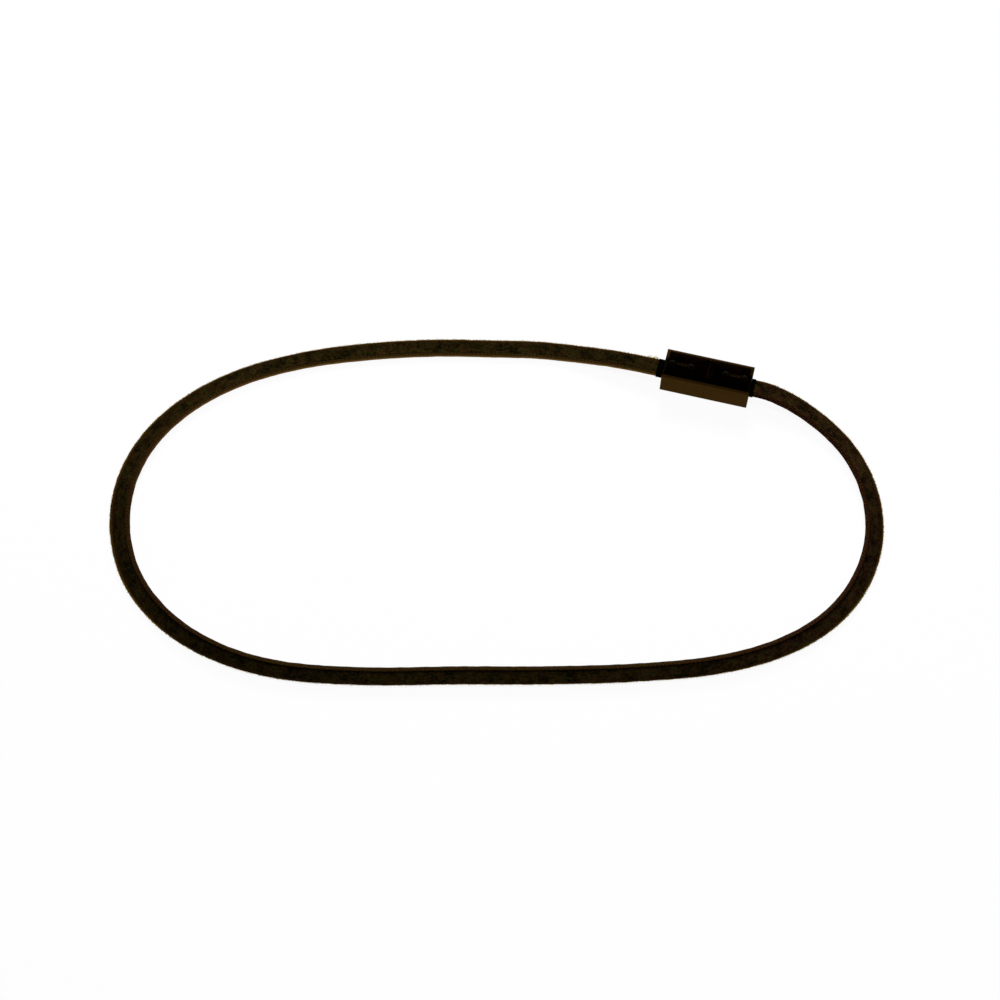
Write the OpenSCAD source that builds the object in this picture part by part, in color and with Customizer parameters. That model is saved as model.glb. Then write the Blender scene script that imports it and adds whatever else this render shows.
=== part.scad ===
// Slim wrist strap: a two-layer strap, closed into an oval loop by a magnetic box clasp.
// Millimetres. X runs along the loop, Y across it towards the clasp, and Z up from the table.

/* [Strap] */
// Width of the strap
strap_w = 1.95; // [1.4:0.05:2.2]
// Thickness of the outer band
band_t = 0.4; // [0.3:0.05:0.6]
// Thickness of the lining on the wrist side
lining_t = 0.3; // [0.2:0.05:0.5]
// Width of the lining's inner edge, which is turned up beside the band
lip_w = 0.2; // [0.08:0.02:0.3]
// Groove between the band and the turned-up edge
lip_gap = 0.12; // [0.08:0.02:0.2]
// Roll opposite the clasp, where the wrist-side edge is lifted the most, in degrees
near_roll = 52; // [0:1:60]
// Distance over which each end comes down from the clasp to the table
settle_l = 13; // [8:1:20]
// Length of each end that the clamp holds
grip_l = 2.2; // [1.6:0.1:2.4]
// Gap of the cut opposite the clasp, where the loop flexes
flex_gap = 0.06; // [0.04:0.02:0.2]

/* [Sleeves] */
// Wall of the sleeve on each strap end
sleeve_t = 0.1; // [0.05:0.05:0.2]
// Length of each sleeve outside the clasp
sleeve_out = 0.75; // [0.3:0.05:1.5]

/* [Clasp] */
// Length of the closed clasp
clasp_l = 10.2; // [9.6:0.1:13]
// Width of the clasp
clasp_w = 3.6; // [3.2:0.1:5]
// Height of the clasp
clasp_h = 3.6; // [3.2:0.1:4.5]
// Thickness of the lids
lid_t = 0.7; // [0.6:0.05:1]
// Width of the rounding round the outer top edges of each lid
edge_w = 0.48; // [0.2:0.02:0.6]
// Height of that rounding
edge_h = 0.5; // [0.2:0.02:0.6]
// Walls of the trays beside the clamps
wall_t = 0.45; // [0.3:0.05:0.6]
// Walls of the trays at the strap's mouths
mouth_t = 0.45; // [0.3:0.05:0.6]
// Walls of the trays between magnet and clamp
web_t = 0.27; // [0.2:0.01:0.4]
// Height of the joint between band and lining inside the clasp
strap_z = 1.6; // [1.3:0.05:1.8]
// Gap between the two halves
seam_gap = 0.06; // [0.04:0.02:0.2]
// Place of the seam along X
clasp_x = 24.2; // [20:0.1:28]
// Place of the seam along Y
clasp_y = 16; // [14:0.1:18]
// Turn of the clasp about Z, in degrees
clasp_turn = -14.3; // [-20:0.1:-8]

/* [Lid mark] */
// Length of the oblong mark between the rivets
mark_l = 1.2; // [0.6:0.1:1.4]
// Width of the mark
mark_w = 0.45; // [0.2:0.05:0.8]
// Depth of the mark
mark_depth = 0.14; // [0.05:0.01:0.25]

/* [Rivets] */
// Diameter of the shanks
rivet_d = 0.44; // [0.3:0.02:0.5]
// Diameter of the heads
head_d = 0.7; // [0.6:0.02:0.8]
// Depth of the heads in the lid
head_h = 0.22; // [0.15:0.01:0.3]
// Rise of the domes within the heads
dome_h = 0.1; // [0.05:0.01:0.12]
// Distance from each end of the clamp to its rivet
rivet_inset = 0.45; // [0.38:0.01:0.6]
// Height of the rivets' feet
rivet_foot = 0.5; // [0.3:0.05:0.9]

/* [Magnets] */
// Width of the magnets
magnet_w = 2; // [1.4:0.1:2.4]
// Height of the magnets
magnet_h = 1.5; // [1:0.1:1.7]
// Length of the socket magnet
magnet_l = 0.5; // [0.4:0.05:0.7]
// Length of the plug magnet that stands out as a tongue
tongue_l = 0.7; // [0.4:0.05:0.8]
// Height of the magnets above the table
magnet_z = 0.7; // [0.5:0.05:0.9]

/* [Clamps] */
// Number of grooves under each clamp
groove_n = 4; // [2:1:6]
// Depth of the grooves
groove_depth = 0.12; // [0.05:0.01:0.2]

/* [Fits] */
// Clearance between fixed pieces
fit = 0.03; // [0.02:0.01:0.05]
// Clearance round the tongue in its socket
run = 0.08; // [0.05:0.01:0.12]

/* [Hidden] */

// Plan of the free strap, anticlockwise seen from above, from the left sleeve to the right one
ROUTE = [
    [12, 19.3], [6, 20.5], [-0.5, 20.8], [-7.5, 20.9], [-15, 20.4], [-22.5, 19.2], [-29.5, 16.9],
    [-35.3, 13.3], [-39.5, 8.5], [-41.7, 2.8], [-41.8, -3.4], [-39.8, -9.4], [-35.7, -14.4],
    [-30, -18], [-23, -20.1], [-14, -20.8], [-4, -20.7], [5, -20.7], [14.6, -20.4], [23.5, -19.5],
    [30.5, -17.5], [36, -14.2], [39.8, -9.6], [41.8, -4], [41.7, 2], [39.5, 7.6], [35.3, 11.9]
];
// The route's point where the loop flexes, opposite the seam
FLEX = 18;
// Rings of the strap from one route point to the next
STEPS = 2;
// Overshoot of a cut past the face that it opens
cut = 0.5;

half_l = clasp_l / 2;
tray_h = clasp_h - lid_t;
bed_z = strap_z - lining_t - fit;
pocket_l = tongue_l + run + magnet_l + fit;
chamber_x = pocket_l + web_t;
chamber_end = half_l - mouth_t;
chamber_w = clasp_w - 2 * wall_t;
rivet_at = [chamber_x + rivet_inset, chamber_end - rivet_inset];
mark_at = (rivet_at[0] + rivet_at[1]) / 2;
clasp_axis = [cos(clasp_turn), sin(clasp_turn)];

function clasp_point(x) = [clasp_x, clasp_y] + x * clasp_axis;

strap_end = chamber_end - grip_l;
free_x = half_l + sleeve_out;
PATH = concat([clasp_point(-free_x)], ROUTE, [clasp_point(free_x)]);
LAST = len(PATH) - 1;
CUT = FLEX + 1;
far_y = max([for (p = ROUTE) p[1]]);
near_y = min([for (p = ROUTE) p[1]]);

function smooth(t) = let (c = max(0, min(1, t))) c * c * (3 - 2 * c);

function unit(v) = v / norm(v);

// Hermite curve through the route, which leaves and enters the clasp along its axis
function slope(i) =
    i == 0 ? -clasp_axis * norm(PATH[1] - PATH[0]) :
    i == LAST ? -clasp_axis * norm(PATH[LAST] - PATH[LAST - 1]) :
    (PATH[i + 1] - PATH[i - 1]) / 2;

function plan(s) =
    let (i = min(floor(s), LAST - 1), t = s - i)
    (2 * pow(t, 3) - 3 * pow(t, 2) + 1) * PATH[i] + (pow(t, 3) - 2 * pow(t, 2) + t) * slope(i)
    + (3 * pow(t, 2) - 2 * pow(t, 3)) * PATH[i + 1] + (pow(t, 3) - pow(t, 2)) * slope(i + 1);

function heading(s) =
    let (i = min(floor(s), LAST - 1), t = s - i)
    unit(6 * (t * t - t) * (PATH[i] - PATH[i + 1]) + (3 * t * t - 4 * t + 1) * slope(i)
        + (3 * t * t - 2 * t) * slope(i + 1));

// How far the strap has come down from the clasp: 0 at a sleeve, 1 on the table
function settled(p) = smooth(min(norm(p - PATH[0]), norm(p - PATH[LAST])) / settle_l);

// Outline of each layer: across the strap, with the wrist side positive, and up from the joint between them
inner_x = strap_w / 2;
lip_x = inner_x - lip_w;
edge_x = lip_x - lip_gap;
BAND = [[-inner_x, 0], [edge_x, 0], [edge_x, band_t], [-inner_x, band_t]];
LINING = [[-inner_x, -lining_t], [inner_x, -lining_t], [inner_x, band_t], [lip_x, band_t], [lip_x, 0],
    [edge_x, 0], [-inner_x, 0]];

// One layer's outline, set across the strap at a place p.
// With down at 0 the strap is flat at the clasp's height, and with 1 its outer edge is on the table.
function ring(p, ahead, down, outline) =
    let (roll = near_roll * down * (far_y - p[1]) / (far_y - near_y),
        table_z = inner_x * sin(roll) + lining_t * cos(roll),
        middle = [p[0], p[1], down * table_z + (1 - down) * strap_z],
        inward = [-ahead[1], ahead[0]],
        across = [inward[0] * cos(roll), inward[1] * cos(roll), sin(roll)],
        up = [-inward[0] * sin(roll), -inward[1] * sin(roll), cos(roll)])
    [for (c = outline) middle + c[0] * across + c[1] * up];

// Ring of the strap's end inside a half, at x along the clasp
function held_ring(x, outline) = ring(clasp_point(x), -clasp_axis, 0, outline);

// Rings from one route number to another, with half the cut's gap left at the end where the loop flexes
function rings(first, last, outline) =
    let (n = ceil((last - first) * STEPS))
    [for (k = [0 : n])
        let (s = first + (last - first) * k / n, ahead = heading(s),
            back = k == 0 && first == CUT ? flex_gap / 2 : k == n && last == CUT ? -flex_gap / 2 : 0,
            p = plan(s) + back * ahead)
        ring(p, ahead, settled(p), outline)];

// Closed strip through rings. Sides that face each other from two layers are split along the same diagonals.
module strip(outline, rows) {
    m = len(outline);
    last = m * (len(rows) - 1);
    sides = [for (i = [0 : len(rows) - 2], j = [0 : m - 1])
        let (a = m * i + j, b = m * i + (j + 1) % m)
        each outline[(j + 1) % m][0] < outline[j][0] ? [[a, a + m, b], [b, a + m, b + m]] :
            [[a, b + m, b], [a, a + m, b + m]]];
    ends = [[for (j = [0 : m - 1]) j], [for (j = [m - 1 : -1 : 0]) last + j]];
    polyhedron([for (row = rows) each row], concat(sides, ends));
}

module at_clasp() {
    translate([clasp_x, clasp_y, 0]) rotate([0, 0, clasp_turn]) children();
}

// Everything of a half is drawn on the plug's side, with the seam at X = 0
module at_socket() {
    at_clasp() rotate([0, 0, 180]) children();
}

module rivet_holes(d, z) {
    for (x = rivet_at) translate([x, 0, z]) cylinder(d = d, h = clasp_h, $fn = 32);
}

// One layer of the strap on the left, from the socket's clamp to the cut
module left_layer(outline) {
    difference() {
        strip(outline, concat([held_ring(-strap_end, outline)], rings(0, CUT, outline)));
        at_socket() rivet_holes(rivet_d + 2 * fit, 0);
    }
}

// One layer of the strap on the right, from the cut to the plug's clamp
module right_layer(outline) {
    difference() {
        strip(outline, concat(rings(CUT, LAST, outline), [held_ring(strap_end, outline)]));
        at_clasp() rivet_holes(rivet_d + 2 * fit, 0);
    }
}

// Block centred across the clasp, from one place to another along it and in height
module block(x0, x1, w, z0, z1) {
    translate([x0, -w / 2, z0]) cube([x1 - x0, w, z1 - z0]);
}

module half_sleeve() {
    inner = [strap_w + 2 * fit, strap_z - lining_t - fit, strap_z + band_t + fit];
    difference() {
        block(chamber_end, free_x, inner[0] + 2 * sleeve_t, inner[1] - sleeve_t, inner[2] + sleeve_t);
        block(chamber_end - cut, free_x + cut, inner[0], inner[1], inner[2]);
    }
}

module half_tray() {
    room = sleeve_t + 2 * fit;
    difference() {
        block(seam_gap / 2, half_l, clasp_w, 0, tray_h);
        block(chamber_x, chamber_end, chamber_w, bed_z, tray_h + cut);
        block(chamber_end - cut, half_l + cut, strap_w + 2 * room,
            strap_z - lining_t - room, strap_z + band_t + room);
        block(-cut, pocket_l, magnet_w + 2 * run, magnet_z - run, magnet_z + magnet_h + run);
        rivet_holes(rivet_d + 2 * fit, rivet_foot);
    }
}

// Plate with its three outer top edges rounded, and a plain edge at the seam
module half_lid() {
    x0 = seam_gap / 2;
    w = clasp_w / 2;
    // The rounding: how far in from the side, and how high, in steps of 15 degrees
    bow = [for (a = [0 : 15 : 90]) [edge_w * (1 - cos(a)), lid_t - edge_h * (1 - sin(a))]];
    difference() {
        intersection() {
            translate([x0, 0, tray_h]) rotate([90, 0, 90]) linear_extrude(half_l - x0)
                polygon(concat([[-w, 0], [w, 0]], [for (p = bow) [w - p[0], p[1]]],
                    [for (i = [len(bow) - 1 : -1 : 0]) [bow[i][0] - w, bow[i][1]]]));
            translate([0, w, tray_h]) rotate([90, 0, 0]) linear_extrude(clasp_w)
                polygon(concat([[x0, 0], [half_l, 0]], [for (p = bow) [half_l - p[0], p[1]]], [[x0, lid_t]]));
        }
        rivet_holes(rivet_d + 2 * fit, 0);
        rivet_holes(head_d + 2 * fit, clasp_h - head_h);
        translate([mark_at, 0, clasp_h - mark_depth]) mark();
    }
}

// Oblong with round ends
module mark() {
    straight = (mark_l - mark_w) / 2;
    translate([-straight, -mark_w / 2, 0]) cube([2 * straight, mark_w, cut]);
    for (side = [-1, 1]) translate([side * straight, 0, 0]) cylinder(d = mark_w, h = cut, $fn = 32);
}

// Bar over the strap's end, grooved underneath, with a heel that bears on the tray's bed
module half_clamp() {
    under = strap_z + band_t + fit;
    w = chamber_w - 2 * fit;
    pitch = (chamber_end - strap_end) / groove_n;
    difference() {
        union() {
            block(chamber_x + fit, chamber_end - fit, w, under, tray_h);
            block(chamber_x + fit, strap_end - fit, w, bed_z, under);
        }
        for (i = [0 : groove_n - 1])
            block(strap_end + (i + 0.25) * pitch, strap_end + (i + 0.75) * pitch, clasp_w,
                under - fit, under + groove_depth);
        rivet_holes(rivet_d + 2 * fit, 0);
    }
}

module half_rivets() {
    seat = clasp_h - head_h;
    rim = head_h - dome_h;
    arc_r = (pow(head_d / 2, 2) + pow(dome_h, 2)) / (2 * dome_h);
    for (x = rivet_at) translate([x, 0, 0]) {
        translate([0, 0, rivet_foot]) cylinder(d = rivet_d, h = seat + rim - rivet_foot, $fn = 32);
        translate([0, 0, seat]) cylinder(d = head_d, h = rim, $fn = 32);
        intersection() {
            translate([0, 0, clasp_h - arc_r]) sphere(r = arc_r, $fn = 64);
            translate([0, 0, seat + rim]) cylinder(d = head_d, h = head_h, $fn = 32);
        }
    }
}

// Magnet that reaches from x0 to the end of its pocket
module half_magnet(x0) {
    block(x0, pocket_l - fit, magnet_w, magnet_z, magnet_z + magnet_h);
}

module band_left() {
    color("#1d1609") left_layer(BAND);
}

module band_right() {
    color("#1d1609") right_layer(BAND);
}

module lining_left() {
    color("#3a2a10") left_layer(LINING);
}

module lining_right() {
    color("#3a2a10") right_layer(LINING);
}

module sleeve_left() {
    color("#0a0805") at_socket() half_sleeve();
}

module sleeve_right() {
    color("#0a0805") at_clasp() half_sleeve();
}

module socket_tray() {
    color("#34240e") at_socket() half_tray();
}

module socket_lid() {
    color("#080604") at_socket() half_lid();
}

module socket_clamp() {
    color("#6b6456") at_socket() half_clamp();
}

module socket_rivets() {
    color("#4a4236") at_socket() half_rivets();
}

module socket_magnet() {
    color("#9a968c") at_socket() half_magnet(tongue_l + run);
}

module plug_tray() {
    color("#34240e") at_clasp() half_tray();
}

module plug_lid() {
    color("#080604") at_clasp() half_lid();
}

module plug_clamp() {
    color("#6b6456") at_clasp() half_clamp();
}

module plug_rivets() {
    color("#4a4236") at_clasp() half_rivets();
}

module plug_magnet() {
    color("#9a968c") at_clasp() half_magnet(-tongue_l);
}

band_left();
band_right();
lining_left();
lining_right();
sleeve_left();
sleeve_right();
socket_tray();
socket_lid();
socket_clamp();
socket_rivets();
socket_magnet();
plug_tray();
plug_lid();
plug_clamp();
plug_rivets();
plug_magnet();
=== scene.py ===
"""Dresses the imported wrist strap: its napped band and lining, its clasp's two halves, and a plain stage.

Blender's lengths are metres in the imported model's frame. The shape functions work in millimetres, as the
part's source does, and finished() turns their points into metres.
"""
from math import pi, radians

import bmesh
import bpy
import numpy as np
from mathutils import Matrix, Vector


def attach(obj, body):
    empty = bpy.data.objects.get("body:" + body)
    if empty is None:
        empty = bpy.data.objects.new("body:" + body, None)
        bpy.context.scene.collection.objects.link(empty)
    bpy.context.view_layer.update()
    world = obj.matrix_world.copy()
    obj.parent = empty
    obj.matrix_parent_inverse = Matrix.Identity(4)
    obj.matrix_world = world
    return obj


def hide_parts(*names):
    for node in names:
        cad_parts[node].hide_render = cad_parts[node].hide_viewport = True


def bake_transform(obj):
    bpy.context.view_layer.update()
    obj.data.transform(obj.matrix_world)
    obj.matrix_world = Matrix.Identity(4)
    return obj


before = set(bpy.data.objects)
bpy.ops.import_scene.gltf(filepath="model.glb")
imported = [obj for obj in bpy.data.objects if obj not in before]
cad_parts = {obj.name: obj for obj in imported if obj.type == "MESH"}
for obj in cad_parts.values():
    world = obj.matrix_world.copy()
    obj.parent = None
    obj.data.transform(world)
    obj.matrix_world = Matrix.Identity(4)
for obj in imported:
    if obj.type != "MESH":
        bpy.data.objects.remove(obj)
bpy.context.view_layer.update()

bl_info = {
    "name": "Slim wrist strap",
    "version": (1, 0, 0),
    "blender": (4, 5, 0),
    "location": "View3D > Sidebar > Wrist strap",
    "description": "Builds the strap, its clasp and a plain stage around the packed model",
    "category": "Object",
}

MM = 0.001
# Points that lie closer than this, in metres, are welded
WELD = 1e-7
LEFT, RIGHT = "socket_side", "plug_side"
# The clasp's halves: which way each lies from the seam, its name, its side of the strap and its body
HALVES = ((-1, "socket", "left", LEFT), (1, "plug", "right", RIGHT))

# Plan of the free strap, anticlockwise seen from above, from the left sleeve to the right one
ROUTE = np.array([
    (12, 19.3), (6, 20.5), (-0.5, 20.8), (-7.5, 20.9), (-15, 20.4), (-22.5, 19.2), (-29.5, 16.9),
    (-35.3, 13.3), (-39.5, 8.5), (-41.7, 2.8), (-41.8, -3.4), (-39.8, -9.4), (-35.7, -14.4),
    (-30, -18), (-23, -20.1), (-14, -20.8), (-4, -20.7), (5, -20.7), (14.6, -20.4), (23.5, -19.5),
    (30.5, -17.5), (36, -14.2), (39.8, -9.6), (41.8, -4), (41.7, 2), (39.5, 7.6), (35.3, 11.9),
])


def linear(code):
    """Linear colour of an sRGB hex code: up to 0.04045 a channel is divided by 12.92, and above that it
    follows a 2.4 power."""
    srgb = np.array([int(code[i:i + 2], 16) / 255 for i in (1, 3, 5)])
    return tuple(np.where(srgb <= 0.04045, srgb / 12.92, ((srgb + 0.055) / 1.055) ** 2.4))


def length(name, millimetres, description):
    return bpy.props.FloatProperty(
        name=name, description=description, default=millimetres * MM, min=0, precision=5, unit="LENGTH")


def rotation(name, degrees, description):
    return bpy.props.FloatProperty(
        name=name, description=description, default=radians(degrees), subtype="ANGLE")


def wattage(name, watts, description):
    return bpy.props.FloatProperty(name=name, description=description, default=watts, unit="POWER")


def colour(name, code, description):
    return bpy.props.FloatVectorProperty(
        name=name, description=description, default=linear(code), size=3, min=0, max=1, subtype="COLOR")


class StrapSettings(bpy.types.PropertyGroup):
    """Sizes and colours of the strap and its sleeves."""
    width: length("Width", 1.95, "Width of the strap")
    band: length("Band", 0.4, "Thickness of the outer band")
    lining: length("Lining", 0.3, "Thickness of the lining on the wrist side")
    lip: length("Lip", 0.2, "Width of the lining's edge that is turned up beside the band")
    groove: length("Groove", 0.12, "Gap between the band and the turned-up edge")
    settle: length("Settle", 13, "Length over which each end comes down from the clasp")
    step: length("Step", 0.16, "Distance from one ring of the strap's mesh to the next")
    roll: rotation("Roll", 52, "Roll of the strap opposite the clasp")
    fibres: bpy.props.IntProperty(
        name="Fibres", description="Number of loose fibres along the edges", default=10000, min=0)
    band_dark: colour("Band, dark", "#0a0902", "Band where the nap lies down")
    band_light: colour("Band, light", "#2b270c", "Band where the nap stands up")
    band_warm: colour("Band, warm", "#301d0c", "Band where the dye is redder")
    # Painted edge light: the band's outer edge is drawn lighter and redder, the fringe of an edge against the
    # white
    band_rim_light: colour("Band, rim", "#34190a", "Band along its brightened outer edge")
    band_raw: colour("Band, raw edge", "#5a4b0b", "Band at the undyed corner of its cut edge")
    lining_dark: colour("Lining, dark", "#211807", "Lining between its ribs")
    lining_light: colour("Lining, light", "#3a2b0e", "Lining on its ribs")
    fibre_dark: colour("Fibre, dark", "#241b0a", "Loose fibres that took the dye")
    # Fibres at the cut edges are undyed, and their colour is painted brighter with the light that shines
    # through them
    fibre_backlit: colour("Fibre, light", "#e0b428", "Loose fibres at the cut edges, undyed")
    sleeve: colour("Sleeve", "#030302", "Rubber of the sleeves")


class ClaspSettings(bpy.types.PropertyGroup):
    """Sizes and colours of the clasp. Both halves are alike but for their magnets."""
    centre_x: length("Seam X", 24.2, "Place of the seam along X")
    centre_y: length("Seam Y", 16, "Place of the seam along Y")
    turn: rotation("Turn", -14.3, "Turn of the clasp about Z")
    length: length("Length", 10.2, "Length of the closed clasp")
    width: length("Width", 3.6, "Width of the clasp")
    height: length("Height", 3.6, "Height of the clasp")
    lid: length("Lid", 0.7, "Thickness of the lids")
    edge_w: length("Edge width", 0.48, "Width of the rounding round the outer top edges of each lid")
    edge_h: length("Edge height", 0.5, "Height of that rounding")
    strap_z: length("Strap height", 1.6, "Height of the joint between band and lining inside the clasp")
    tray_colour: colour("Tray", "#3a2607", "Plating of the trays")
    lid_colour: colour("Lid", "#241603", "Plating of the lids")
    rivet_colour: colour("Rivet", "#16140f", "Plating of the rivets")
    clamp_colour: colour("Clamp", "#a39c8e", "Steel of the clamps")
    magnet_colour: colour("Magnet", "#c8c3b8", "Plating of the magnets")


class StageSettings(bpy.types.PropertyGroup):
    """Floor and light."""
    floor: colour("Floor", "#ffffff", "Paper that the strap lies on")
    key: wattage("Key", 1.05, "Power of the lamp behind")
    top: wattage("Top", 1.1, "Power of the lamp above")


def smooth(t):
    """Three t squared less two t cubed, with t held between 0 and 1."""
    t = np.clip(t, 0, 1)
    return t * t * (3 - 2 * t)


def unit(v):
    return v / np.linalg.norm(v, axis=-1, keepdims=True)


def clasp_axis(clasp):
    return np.array([np.cos(clasp.turn), np.sin(clasp.turn)])


def clasp_point(clasp, x):
    """Places x millimetres along the clasp from its seam, in plan."""
    centre = np.array([clasp.centre_x, clasp.centre_y]) / MM
    return centre + np.asarray(x, float)[..., None] * clasp_axis(clasp)


def placed(clasp, half, points):
    """Points of a half turned to their place: the seam plus x along the clasp's axis plus y across it. They
    are drawn for the plug, half 1, and turned half round for the socket, half -1."""
    c, s = half * np.cos(clasp.turn), half * np.sin(clasp.turn)
    x, y, z = np.moveaxis(points, -1, 0)
    return np.stack([clasp.centre_x / MM + c * x - s * y, clasp.centre_y / MM + s * x + c * y, z], axis=-1)


# Places along the clasp: its halves' faces at the seam, the clamped end of the strap, where the bending
# strap starts inside the mouth, and the outer end of the sleeves
SEAM_X, CLAMPED_X, MOUTH_X, SLEEVE_X = 0.004, 2.45, 5.0, 5.85
# The bottom of the mouth, the inner end of the sleeves, the two rivets, and how deep their heads sit
MOUTH_END_X, SLEEVE_START_X, RIVETS_X, HEAD_DEPTH = 4.66, 4.65, (2.03, 4.2), 0.22
# Length of the free strap from mouth to mouth, and how far to either side of the hinge it bends
FREE_LENGTH, BEND_REACH = 199.7, 4.9
# The strap is soft: how wide it lies, as a share of its width, by millimetres along it from the left mouth
SPREAD = np.array([
    (0, 1), (6, 1.02), (12, 1.04), (21, 1.03), (36, 1.03), (44, 0.98), (57, 1.07), (72, 1.24), (82, 1.21),
    (97, 0.99), (110, 0.96), (125, 0.98), (142, 0.98), (153, 1.02), (169, 1.13), (180, 1.05), (192, 0.975),
    (199, 1),
]).T
# How light the band is along the strap: darker round the two bends
TONE_ALONG = np.array([
    (0, 0.9), (45, 1), (54, 0.98), (72, 0.68), (87, 0.93), (96, 0.74), (106, 0.9), (115, 1.05), (150, 1.1),
    (161, 1.4), (174, 0.82), (191, 1.2), (199, 0.95),
]).T
# How red the dye is along the strap: most round the right bend, and in the lining also at the lower left
DYE = {
    "band": np.array([(0, 0.1), (140, 0.1), (160, 1), (199, 1)]).T,
    "lining": np.array([
        (0, 0.2), (40, 0.2), (70, 0.45), (87, 0.75), (100, 0.35), (140, 0.35), (150, 0.7), (174, 1),
        (199, 1)]).T,
}


def strap_line(strap, clasp):
    """Middle of the strap and its two directions, at equal steps of length, from mouth to mouth.

    The plan is a Hermite curve through the route: the slope at a point is half the way between its
    neighbours, and the clasp's own axis at both ends. The strap rolls from flat at the far side to its full
    roll at the near side, and its outer edge touches the table, apart from the two ends that rise into the
    clasp on a smooth step.
    """
    axis = clasp_axis(clasp)
    ends = clasp_point(clasp, [-SLEEVE_X, SLEEVE_X])
    path = np.vstack([ends[:1], ROUTE, ends[1:]])
    last = len(path) - 1
    slope = np.empty_like(path)
    slope[1:-1] = (path[2:] - path[:-2]) / 2
    slope[0] = -axis * np.linalg.norm(path[1] - path[0])
    slope[-1] = -axis * np.linalg.norm(path[-1] - path[-2])

    def curve(s):
        i = np.minimum(s.astype(int), last - 1)
        t = (s - i)[:, None]
        p, q, m, n = path[i], path[i + 1], slope[i], slope[i + 1]
        at = (2 * t**3 - 3 * t**2 + 1) * p + (t**3 - 2 * t**2 + t) * m
        at += (3 * t**2 - 2 * t**3) * q + (t**3 - t**2) * n
        ahead = 6 * (t * t - t) * (p - q) + (3 * t * t - 4 * t + 1) * m + (3 * t * t - 2 * t) * n
        return at, unit(ahead)

    fine = np.linspace(0, last, 40 * last + 1)
    run = np.concatenate([[0], np.cumsum(np.linalg.norm(np.diff(curve(fine)[0], axis=0), axis=1))])
    count = int(run[-1] / (strap.step / MM))
    at, ahead = curve(np.interp(np.linspace(0, run[-1], count + 1), run, fine))
    down = smooth(np.min([np.linalg.norm(at - end, axis=1) for end in ends], axis=0) / (strap.settle / MM))

    held = np.linspace(MOUTH_X, SLEEVE_X, 6)[:-1]
    at = np.vstack([clasp_point(clasp, -held), at, clasp_point(clasp, held[::-1])])
    ahead = np.vstack([np.tile(-axis, (len(held), 1)), ahead, np.tile(-axis, (len(held), 1))])
    down = np.concatenate([0 * held, down, 0 * held])

    far_y, near_y = ROUTE[:, 1].max(), ROUTE[:, 1].min()
    roll = strap.roll * down * (far_y - at[:, 1]) / (far_y - near_y)
    table_z = strap.width / MM / 2 * np.sin(roll) + strap.lining / MM * np.cos(roll)
    height = down * table_z + (1 - down) * clasp.strap_z / MM
    inward = np.stack([-ahead[:, 1], ahead[:, 0]], axis=1)
    return {
        "middle": np.column_stack([at, height]),
        "across": np.column_stack([inward * np.cos(roll)[:, None], np.sin(roll)]),
        "up": np.column_stack([-inward * np.sin(roll)[:, None], np.cos(roll)]),
        "ahead": np.column_stack([ahead, 0 * roll]),
        "along": np.concatenate([[0], np.cumsum(np.linalg.norm(np.diff(at, axis=0), axis=1))]),
        "rolled": roll / strap.roll,
        "open": smooth((roll / strap.roll - 0.3) / 0.6),
    }


def eased(corners, radii, pieces=None, hold=0.0):
    """Line through corners that are rounded: a corner less r of the way in and plus r of the way out, on a
    quarter turn. With pieces the line is closed, and its straights are cut into that many; else it is open,
    and both ends of each straight have a point at the hold distance, which keeps it flat when it is shaded
    smooth."""
    corners = np.asarray(corners, float)
    turn = np.linspace(0, pi / 2, 6)[:, None]
    arcs = []
    for i, r in enumerate(radii, start=0 if pieces else 1):
        come = unit(corners[i] - corners[i - 1])
        go = unit(corners[(i + 1) % len(corners)] - corners[i])
        arc = corners[i] - r * come * (1 - np.sin(turn)) + r * go * (1 - np.cos(turn))
        arcs.append(np.vstack([arc[:1] - hold * come, arc, arc[-1:] + hold * go]) if hold else arc)
    if not pieces:
        return np.vstack([corners[:1], *arcs, corners[-1:]])
    line = []
    for arc, after, count in zip(arcs, arcs[1:] + arcs[:1], pieces):
        line += [arc, arc[-1] + (after[0] - arc[-1]) * (np.arange(1, count) / count)[:, None]]
    return np.vstack(line)


def unevenness(along, turn, seed, shortest, longest):
    """Sum of forty cosine waves, along the strap and round its outline, with a mean square of one."""
    draw = np.random.default_rng(seed)
    count = 40
    waves = 2 * pi / draw.uniform(shortest, longest, count)
    turns = draw.integers(-4, 5, count)
    phases = draw.uniform(0, 2 * pi, count)
    return sum(np.cos(w * along + t * turn + p) for w, t, p in zip(waves, turns, phases)) / np.sqrt(count / 2)


def grid_faces(rows, columns, start=0, around=False, ring=False):
    """Quads of a grid of points: each point with the next in its row and the two below. around closes the
    rows into loops, and ring joins the last row to the first."""
    i = np.arange(rows if ring else rows - 1)[:, None]
    j = np.arange(columns if around else columns - 1)[None, :]
    i1, j1 = (i + 1) % rows, (j + 1) % columns
    quads = np.stack([i * columns + j, i * columns + j1, i1 * columns + j1, i1 * columns + j], axis=-1)
    return start + quads.reshape(-1, 4)


def new_piece(name, grids, finish, slot, **values):
    """A mesh from grids of points in millimetres, welded where they meet, with its faces turned outwards.

    grids holds (points, around, ring) for each grid. Each of the values is an attribute with a number or a
    vector for every point, for the patterns that follow the piece.
    """
    points, faces, start = [], [], 0
    for at, around, ring in grids:
        rows, columns = at.shape[:2]
        points.append(at.reshape(-1, 3))
        faces.append(grid_faces(rows, columns, start, around, ring))
        start += rows * columns
    return finished(name, np.vstack(points), np.vstack(faces).tolist(), finish, values)


def linked(name, data):
    """A new object in the scene."""
    made = bpy.data.objects.new(name, data)
    bpy.context.scene.collection.objects.link(made)
    return made


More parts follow.
